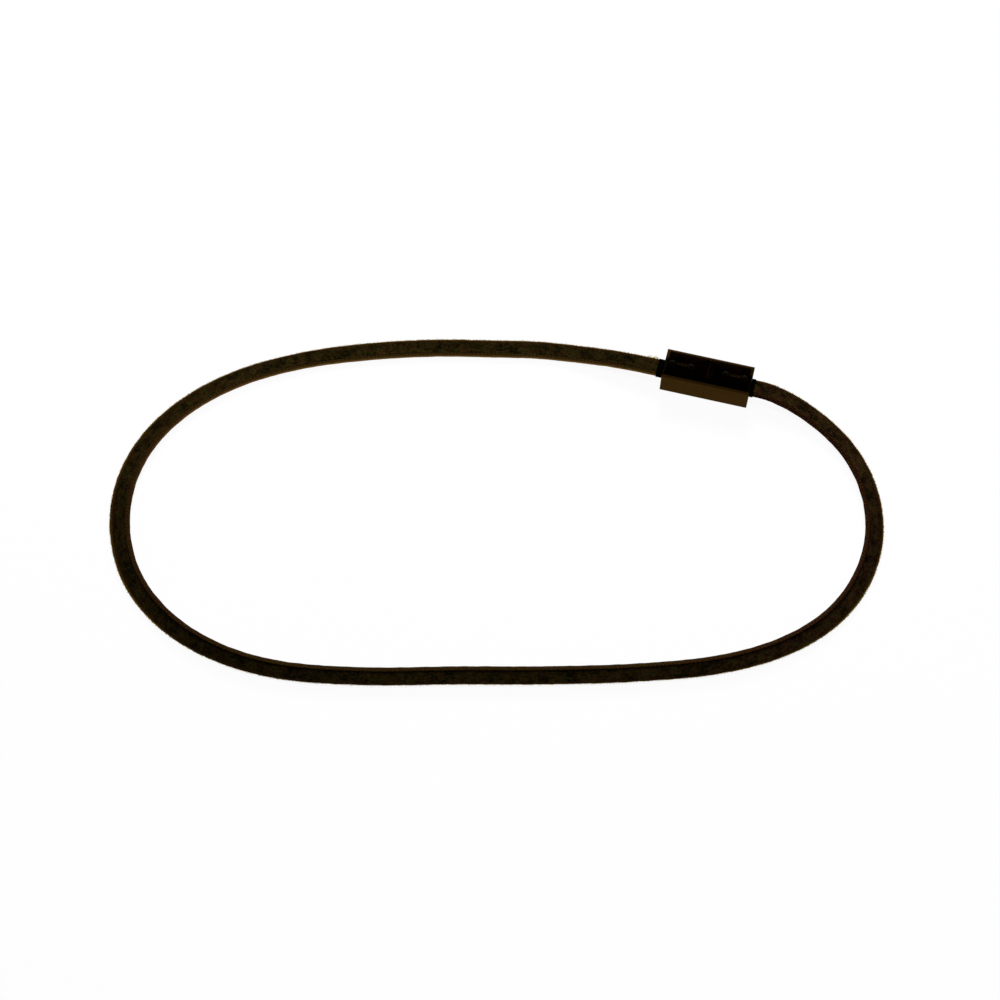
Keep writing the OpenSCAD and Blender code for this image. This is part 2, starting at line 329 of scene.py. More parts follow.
def welded(mesh, closed=True):
    """Welds the points of a mesh that lie together, and turns the faces of a closed one outwards."""
    work = bmesh.new()
    work.from_mesh(mesh)
    bmesh.ops.remove_doubles(work, verts=work.verts, dist=WELD)
    bmesh.ops.dissolve_degenerate(work, edges=work.edges, dist=WELD)
    if closed:
        bmesh.ops.recalc_face_normals(work, faces=work.faces)
        if work.calc_volume(signed=True) < 0:
            bmesh.ops.reverse_faces(work, faces=work.faces)
    work.to_mesh(mesh)
    work.free()


def finished(name, points, faces, finish, values):
    """The object of a mesh, from millimetres: points welded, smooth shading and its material."""
    mesh = bpy.data.meshes.new(name)
    mesh.from_pydata((points * MM).tolist(), [], faces)
    for key, value in values.items():
        vector = value.shape[-1] == 3
        layer = mesh.attributes.new(key, "FLOAT_VECTOR" if vector else "FLOAT", "POINT")
        layer.data.foreach_set("vector" if vector else "value", value.astype(np.float32).ravel())
    welded(mesh)
    mesh.shade_smooth()
    mesh.materials.append(finish)
    piece = linked(name, mesh)
    return piece


def crisp(piece):
    """Keeps the sharp edges of a rigid piece, those over 50 degrees."""
    piece.data.set_sharp_from_angle(angle=radians(50))
    return piece


def add_node(tree, kind, inputs=None, **settings):
    """Adds a node with its settings, and gives its outputs. inputs gives each of its sockets a value, or
    another node's output that is linked to it."""
    made = tree.nodes.new(kind)
    for key, value in settings.items():
        setattr(made, key, value)
    for key, value in (inputs or {}).items():
        if isinstance(value, bpy.types.NodeSocket):
            tree.links.new(value, made.inputs[key])
        else:
            made.inputs[key].default_value = value
    return made.outputs


def new_finish(name):
    """An empty node material and its tree."""
    finish = bpy.data.materials.new(name)
    finish.use_nodes = True
    finish.node_tree.nodes.clear()
    return finish, finish.node_tree


def shaded(finish, **inputs):
    """Ends a material's tree in one Principled shader."""
    named = {key.replace("_", " "): value for key, value in inputs.items()}
    shader = add_node(finish.node_tree, "ShaderNodeBsdfPrincipled", named)[0]
    add_node(finish.node_tree, "ShaderNodeOutputMaterial", {"Surface": shader})
    return finish


def rgba(tone):
    return (*tone, 1)


def redyed(tree, tone, ratio):
    """A tone with its red, green and blue times the ratio, as far as the dye is red there."""
    dye = add_node(tree, "ShaderNodeAttribute", attribute_name="dye")["Fac"]
    redder = add_node(tree, "ShaderNodeVectorMath", {0: tone, 1: ratio}, operation="MULTIPLY")[0]
    return add_node(tree, "ShaderNodeMix", {
        "Factor": dye, "A": tone, "B": redder}, data_type="RGBA")["Result"]


def napped_suede(strap):
    """Napped black-brown split leather. The nap stands and lies in patches of 0.9 mm, with tufts of 0.3 mm
    and a grit of 0.13 mm in them, so the eye sees a dull mottled surface with no highlight. Along its outer
    edge it is painted lighter and redder, as painted edge light against the white, and at the corner of the
    cut it is undyed. Towards the groove it carries painted shade and light. Single fibres, 0.02 mm wide, do
    not show."""
    finish, tree = new_finish("suede_napped_black_brown")
    laid = add_node(tree, "ShaderNodeAttribute", attribute_name="laid")["Vector"]
    nap = add_node(tree, "ShaderNodeAttribute", attribute_name="nap")["Fac"]
    across = add_node(tree, "ShaderNodeSeparateXYZ", {0: laid})["Y"]

    # Dark where the pile lies, and light or reddish where it stands
    patches = add_node(tree, "ShaderNodeTexNoise", {"Vector": laid, "Scale": 1 / 0.9, "Detail": 1.0})[0]
    tufts = add_node(tree, "ShaderNodeTexNoise", {
        "Vector": laid, "Scale": 1 / 0.3, "Detail": 2.0, "Roughness": 0.6})[0]
    stretched = add_node(tree, "ShaderNodeMapping", {"Vector": laid, "Scale": (2.5, 9, 9)})[0]
    hairs = add_node(tree, "ShaderNodeTexNoise", {"Vector": stretched, "Scale": 1.0, "Detail": 2.0})[0]
    coarse = add_node(tree, "ShaderNodeMath", {0: patches, 1: tufts}, operation="ADD")[0]
    pile = add_node(tree, "ShaderNodeMath", {0: coarse, 1: hairs}, operation="ADD")[0]
    standing = add_node(tree, "ShaderNodeMapRange", {"Value": pile, "From Min": 1.2, "From Max": 1.8})[0]
    dyes = add_node(tree, "ShaderNodeTexNoise", {
        "Vector": laid, "W": 5.0, "Scale": 1 / 0.5, "Detail": 3.0, "Roughness": 0.7},
        noise_dimensions="4D")[0]
    redder = add_node(tree, "ShaderNodeMapRange", {"Value": dyes, "From Min": 0.45, "From Max": 0.57})[0]
    light = add_node(tree, "ShaderNodeMix", {
        "Factor": redder, "A": rgba(strap.band_light), "B": rgba(strap.band_warm)},
        data_type="RGBA")["Result"]
    tone = add_node(tree, "ShaderNodeMix", {
        "Factor": standing, "A": rgba(strap.band_dark), "B": light}, data_type="RGBA")["Result"]

    # Lighter and darker along the strap, with the grit, and with the painted shade and light towards the
    # groove
    grit = add_node(tree, "ShaderNodeTexNoise", {"Vector": laid, "Scale": 1 / 0.13, "Detail": 0.0})[0]
    grit = add_node(tree, "ShaderNodeMapRange", {
        "Value": grit, "From Min": 0.3, "From Max": 0.7, "To Min": 0.7, "To Max": 1.3})[0]
    brushed = add_node(tree, "ShaderNodeMath", {0: nap, 1: grit}, operation="MULTIPLY")[0]
    tone = add_node(tree, "ShaderNodeVectorMath", {0: tone, "Scale": brushed}, operation="SCALE")[0]
    tone = redyed(tree, tone, (1.05, 0.86, 1.3))

    # The outer edge, painted lighter and redder as edge light, and the corner of the cut, which is bare where
    # the nap is light
    rim = add_node(tree, "ShaderNodeMapRange", {
        "Value": across, "From Min": -0.62, "From Max": -0.86, "To Max": 0.75})[0]
    tone = add_node(tree, "ShaderNodeMix", {
        "Factor": rim, "A": tone, "B": rgba(strap.band_rim_light)}, data_type="RGBA")["Result"]
    corner = add_node(tree, "ShaderNodeMapRange", {
        "Value": across, "From Min": -0.8, "From Max": -0.93, "To Max": 0.85})[0]
    bared = add_node(tree, "ShaderNodeMapRange", {"Value": nap, "From Min": 0.6, "From Max": 1.1})[0]
    bared = add_node(tree, "ShaderNodeMath", {0: corner, 1: bared}, operation="MULTIPLY")[0]
    tone = add_node(tree, "ShaderNodeMix", {
        "Factor": bared, "A": tone, "B": rgba(strap.band_raw)}, data_type="RGBA")["Result"]

    dull = add_node(tree, "ShaderNodeMapRange", {
        "Value": tufts, "From Min": 0.3, "From Max": 0.7, "To Min": 1.0, "To Max": 0.85})[0]
    bump = add_node(tree, "ShaderNodeBump", {"Height": pile, "Strength": 0.8, "Distance": 0.08 * MM})[0]
    return shaded(finish, Base_Color=tone, Roughness=dull, Normal=bump, Specular_IOR_Level=0.01)


def lining_knit(strap):
    """Knitted conductive lining with slanting ribs 0.3 mm apart: lighter threads, darker between."""
    finish, tree = new_finish("lining_knit_dark_brown")
    laid = add_node(tree, "ShaderNodeAttribute", attribute_name="laid")["Vector"]
    ribs = add_node(tree, "ShaderNodeTexWave", {
        "Vector": laid, "Scale": 1 / 0.22 / 3.2, "Distortion": 2.0, "Detail": 2.0, "Detail Scale": 1.5},
        wave_type="BANDS", bands_direction="DIAGONAL")["Fac"]
    specks = add_node(tree, "ShaderNodeTexNoise", {"Vector": laid, "Scale": 1 / 0.3, "Detail": 3.0})[0]
    threads = add_node(tree, "ShaderNodeMath", {0: ribs, 1: specks}, operation="MULTIPLY")[0]
    tone = add_node(tree, "ShaderNodeMix", {
        "Factor": threads, "A": rgba(strap.lining_dark), "B": rgba(strap.lining_light)},
        data_type="RGBA")["Result"]
    # The nap attribute carries the lining's tone along the strap, with painted light from the floor on the
    # far run's edge
    nap = add_node(tree, "ShaderNodeAttribute", attribute_name="nap")["Fac"]
    tone = add_node(tree, "ShaderNodeVectorMath", {0: tone, "Scale": nap}, operation="SCALE")[0]
    tone = redyed(tree, tone, (1.05, 0.6, 1.2))
    dull = add_node(tree, "ShaderNodeMapRange", {"Value": specks, "To Min": 0.75, "To Max": 0.95})[0]
    bump = add_node(tree, "ShaderNodeBump", {"Height": threads, "Strength": 0.5, "Distance": 0.03 * MM})[0]
    return shaded(finish, Base_Color=tone, Roughness=dull, Normal=bump, Specular_IOR_Level=0.01)


def loose_fibre(strap):
    """Loose leather fibres. Those at the cut edges are undyed, and painted brighter still with the light that
    shines through them against the white, so the edges look soft and warm; the rest are as dark as the band."""
    finish, tree = new_finish("fibre_loose_leather")
    laid = add_node(tree, "ShaderNodeAttribute", attribute_name="laid")["Vector"]
    backlit = add_node(tree, "ShaderNodeAttribute", attribute_name="backlit")["Fac"]
    specks = add_node(tree, "ShaderNodeTexNoise", {"Vector": laid, "Scale": 1 / 0.2, "Detail": 1.0})[0]
    tone = add_node(tree, "ShaderNodeMix", {
        "Factor": backlit, "A": rgba(strap.fibre_dark), "B": rgba(strap.fibre_backlit)},
        data_type="RGBA")["Result"]
    dull = add_node(tree, "ShaderNodeMapRange", {"Value": specks, "To Min": 0.8, "To Max": 1.0})[0]
    return shaded(finish, Base_Color=tone, Roughness=dull, Specular_IOR_Level=0.02)


def grained(name, base, darker, grain, depth, roughness, plated=False, **more):
    """Moulded or plated finish: a speckled tone, with a fine grain in roughness and bump. grain and depth
    are in millimetres.

    A dark plating mirrors almost as little at a flat angle as from straight above. It is dull where it is
    etched, and darkened to black where a painted shade falls at the strap's mouth.
    """
    finish, tree = new_finish(name)
    place = add_node(tree, "ShaderNodeTexCoord")["Object"]
    specks = add_node(tree, "ShaderNodeTexNoise", {
        "Vector": place, "Scale": 1 / (grain * MM), "Detail": 3.0})[0]
    cloud = add_node(tree, "ShaderNodeTexNoise", {
        "Vector": place, "Scale": 1 / (8 * grain * MM), "Detail": 2.0})[0]
    speckled = add_node(tree, "ShaderNodeMath", {0: specks, 1: cloud}, operation="MULTIPLY")[0]
    share = add_node(tree, "ShaderNodeMapRange", {"Value": speckled, "From Min": 0.15, "From Max": 0.4})[0]
    tone = add_node(tree, "ShaderNodeMix", {
        "Factor": share, "A": rgba(np.array(base) * darker), "B": rgba(base)}, data_type="RGBA")["Result"]
    low, high = roughness
    gloss = add_node(tree, "ShaderNodeMapRange", {
        "Value": speckled, "From Min": 0.1, "From Max": 0.45, "To Min": low, "To Max": high})[0]
    bump = add_node(tree, "ShaderNodeBump", {"Height": specks, "Strength": 0.3, "Distance": depth * MM})[0]
    if plated:
        etched = add_node(tree, "ShaderNodeAttribute", attribute_name="etched")["Fac"]
        more["Metallic"] = add_node(tree, "ShaderNodeMapRange", {
            "Value": etched, "To Min": 1.0, "To Max": 0.6})[0]
        more["Specular_Tint"] = (0.53, 0.53, 0.53, 1)
        # Painted shade: the plating is darkened almost to black where the strap goes into the mouth
        rubbed = add_node(tree, "ShaderNodeAttribute", attribute_name="rubbed")["Fac"]
        kept = add_node(tree, "ShaderNodeMapRange", {"Value": rubbed, "To Min": 1.0, "To Max": 0.08})[0]
        tone = add_node(tree, "ShaderNodeVectorMath", {0: tone, "Scale": kept}, operation="SCALE")[0]
    return shaded(finish, Base_Color=tone, Roughness=gloss, Normal=bump, **more)


def brushed_steel(clasp):
    """Sheared steel bar, brushed along its length: streaks 0.04 mm wide and 1 mm long in tone and gloss."""
    finish, tree = new_finish("steel_brushed")
    place = add_node(tree, "ShaderNodeTexCoord")["Object"]
    laid = add_node(tree, "ShaderNodeMapping", {
        "Vector": place, "Rotation": (0, 0, -clasp.turn), "Scale": (1 / MM, 25 / MM, 25 / MM)})[0]
    streaks = add_node(tree, "ShaderNodeTexNoise", {"Vector": laid, "Scale": 1.0, "Detail": 4.0})[0]
    base = np.array(clasp.clamp_colour)
    tone = add_node(tree, "ShaderNodeMix", {
        "Factor": streaks, "A": rgba(base * 0.6), "B": rgba(base)}, data_type="RGBA")["Result"]
    gloss = add_node(tree, "ShaderNodeMapRange", {"Value": streaks, "To Min": 0.25, "To Max": 0.5})[0]
    bump = add_node(tree, "ShaderNodeBump", {"Height": streaks, "Strength": 0.2, "Distance": 0.01 * MM})[0]
    return shaded(finish, Base_Color=tone, Metallic=1.0, Roughness=gloss, Normal=bump)


def white_paper(stage):
    """Matte white paper under the strap, with a faint tooth of 0.6 mm. Seen straight, in a mirror or through
    a clear body, most of it is plain white, so the strap's shadow on it is faint, as on a lit table."""
    finish, tree = new_finish("paper_white_matte")
    place = add_node(tree, "ShaderNodeTexCoord")["Object"]
    tooth = add_node(tree, "ShaderNodeTexNoise", {
        "Vector": place, "Scale": 1 / (0.6 * MM), "Detail": 2.0})[0]
    tone = add_node(tree, "ShaderNodeMix", {
        "Factor": tooth, "A": rgba(np.array(stage.floor) * 0.99), "B": rgba(stage.floor)},
        data_type="RGBA")["Result"]
    paper = add_node(tree, "ShaderNodeBsdfDiffuse", {"Color": tone})[0]
    glow = add_node(tree, "ShaderNodeEmission", {"Color": rgba(stage.floor), "Strength": 1.0})[0]
    ray = add_node(tree, "ShaderNodeLightPath")
    mirrored = add_node(tree, "ShaderNodeMath", {
        0: ray["Is Glossy Ray"], 1: ray["Is Transmission Ray"]}, operation="MAXIMUM")[0]
    seen = add_node(tree, "ShaderNodeMath", {0: ray["Is Camera Ray"], 1: mirrored}, operation="MAXIMUM")[0]
    share = add_node(tree, "ShaderNodeMath", {0: seen, 1: 0.93}, operation="MULTIPLY")[0]
    lit = add_node(tree, "ShaderNodeMixShader", {0: share, 1: paper, 2: glow})[0]
    add_node(tree, "ShaderNodeOutputMaterial", {"Surface": lit})
    return finish


def carried(line, shut, opened, swell=0):
    """An outline carried along the strap: middle + across + up. The outline goes from shut to opened as the
    strap rolls, is as wide as the strap spreads, and each point is pushed out from the outline's middle by
    the swell. Also gives each point's place along, across and up the strap."""
    shape = shut + line["open"][:, None, None] * (opened - shut)
    shape = shape * np.stack([np.interp(line["along"], *SPREAD), np.ones(len(shape))], axis=-1)[:, None]
    shape = shape + np.asarray(swell)[..., None] * unit(shut - shut.mean(axis=0))
    side, rise = shape[..., :1], shape[..., 1:]
    at = line["middle"][:, None] + side * line["across"][:, None] + rise * line["up"][:, None]
    along = np.broadcast_to(line["along"][:, None, None], (*shape.shape[:2], 1))
    return at, np.concatenate([along, shape], axis=-1)


def band_tone_and_groove_shade(line, laid):
    """How light the band is: by the length along the strap, and towards the groove a painted shade where that
    is open and painted light where it is shut."""
    along, across = laid[..., :1], laid[..., 1:2]
    near = 1 - smooth((0.7 - across) / 0.45)
    opened = line["open"][:, None, None]
    # Painted shade towards an open groove, and painted light towards a shut one
    return np.interp(along, *TONE_ALONG) * (1 - (0.5 * opened**2 - 0.25 * (1 - opened)) * near)


def lining_tone_and_floor_light(line, laid):
    """How light the lining is: along the far run its cut edge is painted lighter, most at the bottom, as
    painted light from the white floor in front of it. It is a little darker at the lower left, and round the
    right bend it darkens towards the band."""
    along, across, up = laid[..., :1], laid[..., 1:2], laid[..., 2:]
    far = np.clip(1 - 2 * line["rolled"], 0, 1)[:, None, None] * smooth((182 - along) / 10)
    edge = smooth((across - 0.7) / 0.2)
    # Painted light from the floor on the far run's cut edge, strongest at the bottom
    floor_lit = 1 + far * edge * (0.3 + 19.6 * np.clip((0.45 - up) / 0.75, 0, 1) ** 1.8)
    lower_left = np.interp(along, (78, 87, 96, 104), (1, 0.85, 0.82, 1))
    right = smooth((along - 160) / 12) * smooth((190 - along) / 10)
    inside = smooth((0.97 - across / np.interp(along, *SPREAD)) / 0.2)
    return floor_lit * lower_left * (1 - 0.55 * right * inside)


def capped(rows):
    """A tube with each end drawn together into its middle."""
    first, last = (
        np.broadcast_to(end.mean(axis=1, keepdims=True), end.shape) for end in (rows[:1], rows[-1:]))
    return np.concatenate([first, rows, last])


def layer_outlines(strap, lip_w, groove_w, proud):
    """Outlines of band and lining: across the strap, wrist side positive, and up from the joint between
    them. The lining's inner edge is turned up into a round bead beside the band, and stands proud of it."""
    inner = strap.width / MM / 2
    lip = inner - lip_w
    edge = lip - groove_w
    top, low = strap.band / MM, -strap.lining / MM
    bead = top + proud
    band = eased(
        [(-inner, 0), (edge, 0), (edge, top), (-inner, top)], (0.02, 0.02, 0.1, 0.09), (16, 3, 16, 3))
    lining = eased(
        [(-inner, low), (inner, low), (inner, bead), (lip, bead), (lip, 0), (edge, 0), (-inner, 0)],
        (0.06, 0.1, 0.16, 0.03, 0.02, 0.02, 0.02), (18, 6, 1, 3, 1, 8, 2))
    return band, lining


def bend(piece):
    """Bakes a soft piece's transform into its mesh."""
    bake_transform(piece)


def clamped_end(clasp, half, count=18):
    """Straight line of the strap's end in a half, from clamp to mouth, as strap_line() gives the rest."""
    x = np.linspace(CLAMPED_X, MOUTH_X, count)
    axis = clasp_axis(clasp)
    at = placed(clasp, half, np.stack([x, 0 * x, 0 * x + clasp.strap_z / MM], axis=-1))
    return {
        "middle": at,
        "across": np.tile((axis[1], -axis[0], 0), (count, 1)),
        "up": np.tile((0.0, 0.0, 1.0), (count, 1)),
        "along": (x - MOUTH_X) if half < 0 else FREE_LENGTH + MOUTH_X - x,
        "open": 0 * x,
        "rolled": 0 * x,
    }


def strip(name, line, outlines, finish, slot, light, swell=0):
    """One layer of the strap along a line, with capped ends, and the attributes that its patterns follow."""
    at, laid = carried(line, *outlines, swell)
    dye = np.interp(laid[..., :1], *DYE[slot])
    # The nap attribute carries each layer's tone along the strap, with painted shade and light by the band's
    # groove and painted floor light on the lining's edge
    return new_piece(
        name, [(capped(at), True, False)], finish, slot, laid=capped(laid), nap=capped(light(line, laid)),
        dye=capped(dye))


class STRAP_OT_band(bpy.types.Operator):
    """Carries the napped band and its lining along the route, with the clamped ends inside the clasp"""
    bl_idname = "wrist_strap.band"
    bl_label = "Band and lining"

    def execute(self, context):
        strap, clasp = context.scene.strap_sizes, context.scene.strap_clasp
        line = strap_line(strap, clasp)
        along = line["along"][:, None]
        free = smooth((along - 0.8) / 2) * smooth((along[-1] - 0.8 - along) / 2)
        # Where the strap lies flat its groove is almost shut, and it opens into the lip as the strap rolls
        wider = 0.07
        shut = layer_outlines(strap, strap.lip / MM, 0.02, 0)
        opened = layer_outlines(strap, strap.lip / MM - wider, strap.groove / MM + wider, 0.03)
        layers = (
            ("band", napped_suede(strap), 0.01, band_tone_and_groove_shade), ("lining", lining_knit(strap), 0.008, lining_tone_and_floor_light))
        for i, (name, finish, swell, light) in enumerate(layers):
            turn = np.linspace(0, 2 * pi, len(shut[i]), endpoint=False)[None]
            rough = swell * free * unevenness(along, turn, 3 + i, 0.5, 4)
            outlines = shut[i], opened[i]
            piece = strip(name, line, outlines, finish, name, light, rough)
            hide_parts(name + "_left", name + "_right")
            bend(piece)
            for half, _, side, body in HALVES:
                tail = strip(f"{name}_end_{side}", clamped_end(clasp, half), outlines, finish, name, light)
                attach(tail, body)
        return {"FINISHED"}


class STRAP_OT_fibres(bpy.types.Operator):
    """Stands loose fibres along the strap's edges, and a few longer ones where it leaves the left sleeve"""
    bl_idname = "wrist_strap.fibres"
    bl_label = "Loose fibres"

    def execute(self, context):
        strap, clasp = context.scene.strap_sizes, context.scene.strap_clasp
        line = strap_line(strap, clasp)
        draw = np.random.default_rng(21)
        count, longer = strap.fibres, 40
        ring = draw.integers(8, len(line["along"]) - 8, count)
        ring[:longer] = draw.integers(6, 16, longer)
        edge = strap.width / MM / 2
        top = strap.band / MM
        # Seats across and up the strap, and the way that each seat faces
        seats = np.array([
            (-edge + 0.03, top - 0.03), (edge - 0.06, top), (-edge, -0.15), (edge, 0.1), (-0.3, top)])
        faces = unit(np.array([(-1, 0.25), (0.4, 1), (-1, 0.1), (1, 0.2), (0, 1)]))
        pick = draw.choice(len(seats), count, p=(0.55, 0.1, 0.1, 0.15, 0.1))
        # How much of each fibre's colour is painted light shining through it: most at the band's outer edge
        backlit = draw.uniform(0.3, 1, (count, 1)) * np.array((1, 0.12, 1, 0.25, 0.05))[pick][:, None]
        # Those of the last seat are strewn over the band's face, and the rest keep to their edge
        strewn = np.where(pick == len(seats) - 1, 0.4, 0.015)[:, None]
        seat = seats[pick] + draw.normal(0, 1, (count, 2)) * strewn * (1, 0)
        seat[:, 0] = np.clip(seat[:, 0], -edge, edge) * np.interp(line["along"][ring], *SPREAD)
        across, up, ahead = line["across"][ring], line["up"][ring], line["ahead"][ring]
        foot = line["middle"][ring] + seat[:, :1] * across + seat[:, 1:] * up
        way = faces[pick] + draw.normal(0, 0.5, (count, 2))
        lean = draw.normal(0, 0.9, (count, 1))
        way = unit(way[:, :1] * across + way[:, 1:] * up + lean * ahead)
        side = unit(np.cross(way, draw.normal(0, 1, (count, 3))))
        other = np.cross(way, side)
        tall = draw.uniform(0.05, 0.15, (count, 1))
        tall[:longer] *= 3.2
        thick = draw.uniform(0.016, 0.032, (count, 1))
        # Three rings of three points: foot, a bent middle and a tip drawn to a point
        turn = np.arange(3) * 2 * pi / 3
        rings = []
        for share, bow, girth in ((-0.15, 0, 1), (0.55, 0.1, 0.8), (1, 0.35, 0)):
            middle = foot + share * tall * way + bow * tall * side
            rim = np.cos(turn)[:, None] * side[:, None] + np.sin(turn)[:, None] * other[:, None]
            rings.append(middle[:, None] + girth * thick[:, None] * rim)
        points = np.stack(rings, axis=1)
        each = len(rings) * len(turn)
        start = np.arange(count)[:, None, None] * each
        quads = (start + grid_faces(2, 3, around=True)[None]).reshape(-1, 4)
        tips = (start + np.array([(3, 4, 6), (4, 5, 6), (5, 3, 6), (0, 2, 1)])[None]).reshape(-1, 3)
        laid = np.concatenate([line["along"][ring][:, None], seat], axis=1)
        # The two spare points of each tip lie on the first, so the weld takes them away
        piece = finished(
            "fibres", points.reshape(-1, 3), quads.tolist() + tips.tolist(), loose_fibre(strap),
            {"laid": np.repeat(laid, each, axis=0), "backlit": np.repeat(backlit, each, axis=0)})
        bend(piece)
        return {"FINISHED"}


def strap_room(strap, clasp):
    """Half width, bottom and top of the strap where it lies in the clasp."""
    return strap.width / MM / 2, (clasp.strap_z - strap.lining) / MM, (clasp.strap_z + strap.band) / MM


def widened(opening, by):
    """The half width, bottom and top of an opening, moved outwards."""
    half_w, low, high = opening
    return half_w + by, low - by, high + by


def round_ring(x, half_w, low, high, radius, count=6, hold=0.03):
    """Rounded rectangle across the clasp at x: each corner's middle plus the radius on a quarter turn, with
    one more point on the flat at either side of the corner."""
    turn = np.linspace(0, pi / 2, count)[None, :, None]
    first = np.arange(4) * pi / 2
    one = np.stack([np.cos(first), np.sin(first)], axis=-1)[:, None]
    two = np.stack([-np.sin(first), np.cos(first)], axis=-1)[:, None]
    core = np.stack([
        np.array((1, -1, -1, 1)) * (half_w - radius),
        (low + high) / 2 + np.array((1, 1, -1, -1)) * ((high - low) / 2 - radius)], axis=-1)[:, None]
    hold = min(hold, half_w - radius, (high - low) / 2 - radius)
    arc = core + radius * (np.cos(turn) * one + np.sin(turn) * two)
    ring = np.concatenate([arc[:, :1] - hold * two, arc, arc[:, -1:] - hold * one], axis=1).reshape(-1, 2)
    return np.column_stack([np.full(len(ring), x), ring])


def edge_rings(x, way, half_w, low, high, radius, soft, count=5, hold=0.03):
    """Rings over a softened edge between the sides and an end face at x, from the sides to the face. way is
    1 for an end that faces +X. The edge is a quarter turn, with a ring on the flat before and after it."""
    turn = np.linspace(0, pi / 2, count)
    back = np.concatenate([[soft + hold], soft * (1 - np.sin(turn)), [0]])
    inset = np.concatenate([[0], soft * (1 - np.cos(turn)), [soft + hold]])
    return [
        round_ring(x - way * b, *widened((half_w, low, high), -i), max(radius - i, 0.01))
        for b, i in zip(back, inset)]


class STRAP_OT_trays(bpy.types.Operator):
    """Casts the tray of each half: a hollow rounded block, carried out of the pocket, over the outside and
    into the strap's mouth"""
    bl_idname = "wrist_strap.trays"
    bl_label = "Clasp trays"

    def execute(self, context):
        strap, clasp = context.scene.strap_sizes, context.scene.strap_clasp
        finish = grained(
            "plated_metal_satin_black_bronze", clasp.tray_colour, darker=0.8, grain=0.12, depth=0.003,
            roughness=(0.3, 0.42), plated=True)
        half_l, half_w = clasp.length / MM / 2, clasp.width / MM / 2
        high = (clasp.height - clasp.lid) / MM
        mouth = widened(strap_room(strap, clasp), 0.16)
        pocket, pocket_end = (1.08, 0.62, 2.28), 1.31
        flare = 0.06
        rings = [round_ring(pocket_end, *pocket, 0.1), round_ring(SEAM_X + 0.09, *pocket, 0.1)]
        rings += [round_ring(SEAM_X, *widened(pocket, flare), 0.16)]
        rings += edge_rings(SEAM_X, -1, half_w, 0, high, 0.02, 0.015)[::-1]
        rings += edge_rings(half_l, 1, half_w, 0, high, 0.03, 0.06)
        rings += [round_ring(half_l, *widened(mouth, flare), 0.18)]
        rings += [round_ring(half_l - flare, *mouth, 0.12), round_ring(MOUTH_END_X, *mouth, 0.12)]
        at = np.stack(rings)
        for half, name, _, body in HALVES:
            tube = capped(placed(clasp, half, at))
            piece = new_piece(name + "_tray_plated", [(tube, True, False)], finish, "tray")
            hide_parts(name + "_tray")
            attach(crisp(piece), body)
        return {"FINISHED"}


def stadium(straight, radius, count):
    """Core points and directions of an oblong with round ends, count to each of four sides, from its lower
    left corner: the lower side is an eighth turn, the straight and an eighth turn, and the right side a
    quarter turn. With no straight it is a circle."""
    share = np.arange(count) / count
    bow = radius * pi / 4
    run = share * (2 * bow + 2 * straight)
    angle = -3 * pi / 4 + (np.clip(run, 0, bow) + np.clip(run - bow - 2 * straight, 0, bow)) / radius
    core = -straight + np.clip(run - bow, 0, 2 * straight)
    angle = np.concatenate([angle, -pi / 4 + share * pi / 2])
    core = np.concatenate([core, np.full(count, straight)])
    angle, core = np.concatenate([angle, angle + pi]), np.concatenate([core, -core])
    return np.stack([core, 0 * core], axis=-1), np.stack([np.cos(angle), np.sin(angle)], axis=-1)


def sides(low_x, high_x, half_w, count):
    """Points round a rectangle, count to each side, from its lower left corner."""
    share = np.arange(count) / count
    x = low_x + share * (high_x - low_x)
    y = (2 * share - 1) * half_w
    full = np.full(count, 1.0)
    return np.stack([
        np.concatenate([x, full * high_x, high_x + low_x - x, full * low_x]),
        np.concatenate([-full * half_w, y, full * half_w, -y])], axis=-1)


def sunk(frame_points, centre, core, way, steps):
    """Flat with a sunk shape in it: from its frame's points to the core, by steps of (radius, height)."""
    top = steps[0][1]
    rows = [np.column_stack([frame_points, np.full(len(frame_points), top)])]
    rows += [
        np.column_stack([core + radius * way + (centre, 0), np.full(len(core), z)]) for radius, z in steps]
    return np.stack(rows)


def soften(piece, way, width):
    """Makes the outermost flat side of a mesh along way one face, and rounds its upper edge."""
    work = bmesh.new()
    work.from_mesh(piece.data)
    way = Vector(way)
    reach = max(v.co.dot(way) for v in work.verts) - 0.002 * MM
    height = max(v.co.z for v in work.verts) - 0.03 * MM
    side = [f for f in work.faces if min(v.co.dot(way) for v in f.verts) > reach]
    bmesh.ops.dissolve_faces(work, faces=side)
    edges = [e for e in work.edges if min(min(v.co.dot(way) - reach, v.co.z - height) for v in e.verts) > 0]
    bmesh.ops.bevel(
        work, geom=edges, offset=width * MM, segments=4, profile=0.5, affect="EDGES", clamp_overlap=True)
    work.to_mesh(piece.data)
    work.free()
    welded(piece.data)
    piece.data.shade_smooth()


